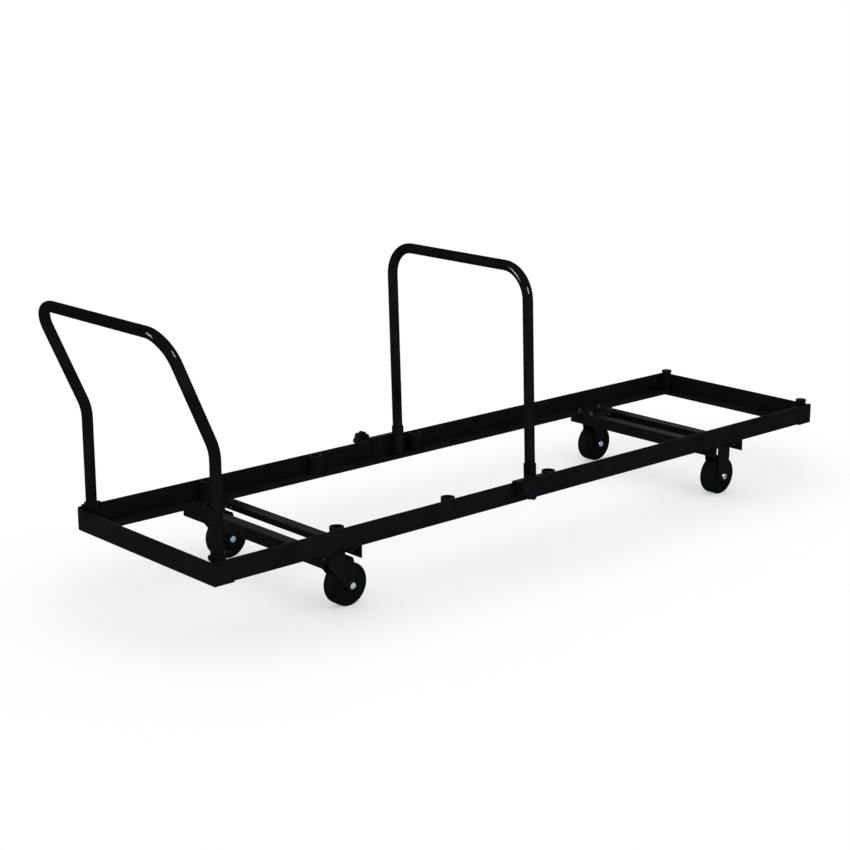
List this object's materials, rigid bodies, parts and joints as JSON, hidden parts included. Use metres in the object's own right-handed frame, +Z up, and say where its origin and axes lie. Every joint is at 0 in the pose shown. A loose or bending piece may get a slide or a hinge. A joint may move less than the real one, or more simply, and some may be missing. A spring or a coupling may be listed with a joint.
{
  "type": "folding chair dolly",
  "caption": "Long low angle-iron tray on casters for carrying folded chairs, with a leaning tube push handle, a clamped sliding middle hoop and open pipe sockets along the rails.",
  "frame": {"origin": "on the floor under the middle of the whole dolly's box", "axes": "+X along the tray from the handle end to the front end, +Y to the far side, +Z up"},
  "size_m": [2.1362, 0.6406, 0.7119],
  "materials": {
    "black_powder_coat": "gloss powder coat",
    "bright_zinc": "bright zinc plate",
    "black_zinc": "black zinc plate",
    "black_rubber": "satin hard rubber",
    "black_plastic": "satin moulded",
    "black_steel": "black oxide",
    "plain_steel": "turned",
    "ball_steel": "polished"
  },
  "bodies": {
    "frame": {"caster_bolts": "black_zinc", "caster_nuts": "black_zinc", "side_rail_near": "black_powder_coat", "side_rail_far": "black_powder_coat", "end_rail_handle": "black_powder_coat", "end_rail_front": "black_powder_coat", "crossbar_handle_outer": "black_powder_coat", "crossbar_handle_inner": "black_powder_coat", "crossbar_front_outer": "black_powder_coat", "crossbar_front_inner": "black_powder_coat", "rail_socket_1_near": "black_powder_coat", "rail_socket_1_far": "black_powder_coat", "rail_socket_2_near": "black_powder_coat", "rail_socket_2_far": "black_powder_coat", "rail_socket_3_near": "black_powder_coat", "rail_socket_3_far": "black_powder_coat", "handle_socket_near": "black_powder_coat", "handle_socket_far": "black_powder_coat", "push_handle": "black_powder_coat", "handle_bolts": "black_zinc", "handle_nuts": "black_zinc", "corner_post_near": "black_powder_coat", "corner_post_far": "black_powder_coat", "post_caps": "black_plastic", "swivel_plate_near": "black_powder_coat", "swivel_plate_far": "black_powder_coat", "kingpins": "plain_steel", "swivel_balls": "ball_steel", "rigid_plate_near": "black_powder_coat", "rigid_fork_near": "black_powder_coat", "rigid_plate_far": "black_powder_coat", "rigid_fork_far": "black_powder_coat", "rigid_bushings": "plain_steel", "rigid_axles": "bright_zinc", "rigid_axle_nuts": "bright_zinc"},
    "swivel_near": {"swivel_fork_near": "black_powder_coat", "swivel_bushing_near": "plain_steel", "swivel_axle_near": "bright_zinc", "swivel_axle_nut_near": "bright_zinc"},
    "swivel_far": {"swivel_fork_far": "black_powder_coat", "swivel_bushing_far": "plain_steel", "swivel_axle_far": "bright_zinc", "swivel_axle_nut_far": "bright_zinc"},
    "wheel_swivel_near": {"swivel_wheel_near": "black_rubber"},
    "wheel_swivel_far": {"swivel_wheel_far": "black_rubber"},
    "wheel_rigid_near": {"rigid_wheel_near": "black_rubber"},
    "wheel_rigid_far": {"rigid_wheel_far": "black_rubber"},
    "hoop": {"middle_hoop": "black_powder_coat", "hoop_sleeve_near": "black_powder_coat", "hoop_sleeve_far": "black_powder_coat", "clamp_saddle_near": "black_powder_coat", "clamp_saddle_far": "black_powder_coat", "clamp_weld_nuts": "black_steel"},
    "pad_near": {"clamp_pad_near": "black_steel"},
    "pad_far": {"clamp_pad_far": "black_steel"},
    "knob_near": {"clamp_knob_near": "black_plastic", "clamp_screw_near": "black_steel"},
    "knob_far": {"clamp_knob_far": "black_plastic", "clamp_screw_far": "black_steel"}
  },
  "joints": [
    {"name": "swivel_turn_near", "type": "hinge", "parent": "frame", "child": "swivel_near", "pos_m": [-0.62236, -0.2248, 0.115], "axis": [0, 0, 1], "continuous": true},
    {"name": "swivel_wheel_spin_near", "type": "hinge", "parent": "swivel_near", "child": "wheel_swivel_near", "pos_m": [-0.58436, -0.2248, 0.0508], "axis": [0, 1, 0], "continuous": true},
    {"name": "rigid_wheel_spin_near", "type": "hinge", "parent": "frame", "child": "wheel_rigid_near", "pos_m": [0.71464, -0.2248, 0.0508], "axis": [0, 1, 0], "continuous": true},
    {"name": "swivel_turn_far", "type": "hinge", "parent": "frame", "child": "swivel_far", "pos_m": [-0.62236, 0.2248, 0.115], "axis": [0, 0, 1], "continuous": true},
    {"name": "swivel_wheel_spin_far", "type": "hinge", "parent": "swivel_far", "child": "wheel_swivel_far", "pos_m": [-0.58436, 0.2248, 0.0508], "axis": [0, 1, 0], "continuous": true},
    {"name": "rigid_wheel_spin_far", "type": "hinge", "parent": "frame", "child": "wheel_rigid_far", "pos_m": [0.71464, 0.2248, 0.0508], "axis": [0, 1, 0], "continuous": true},
    {"name": "hoop_slide", "type": "slide", "parent": "frame", "child": "hoop", "axis": [1, 0, 0], "range_m": [-0.1773, 0.0243]},
    {"name": "clamp_pad_slide_near", "type": "slide", "parent": "hoop", "child": "pad_near", "axis": [0, -1, 0], "range_m": [0, 0.00374]},
    {"name": "clamp_knob_turn_near", "type": "hinge", "parent": "pad_near", "child": "knob_near", "pos_m": [-0.08236, -0.2963, 0.1846], "axis": [0, -1, 0], "range_deg": [0, 1080]},
    {"name": "clamp_pad_slide_far", "type": "slide", "parent": "hoop", "child": "pad_far", "axis": [0, 1, 0], "range_m": [0, 0.00374]},
    {"name": "clamp_knob_turn_far", "type": "hinge", "parent": "pad_far", "child": "knob_far", "pos_m": [-0.08236, 0.2963, 0.1846], "axis": [0, 1, 0], "range_deg": [0, 1080]}
  ],
  "couplings": [
    {"joint": "clamp_knob_turn_near", "follows": "clamp_pad_slide_near", "rad_per_m": 5026.5},
    {"joint": "clamp_knob_turn_far", "follows": "clamp_pad_slide_far", "rad_per_m": 5026.5}
  ]
}
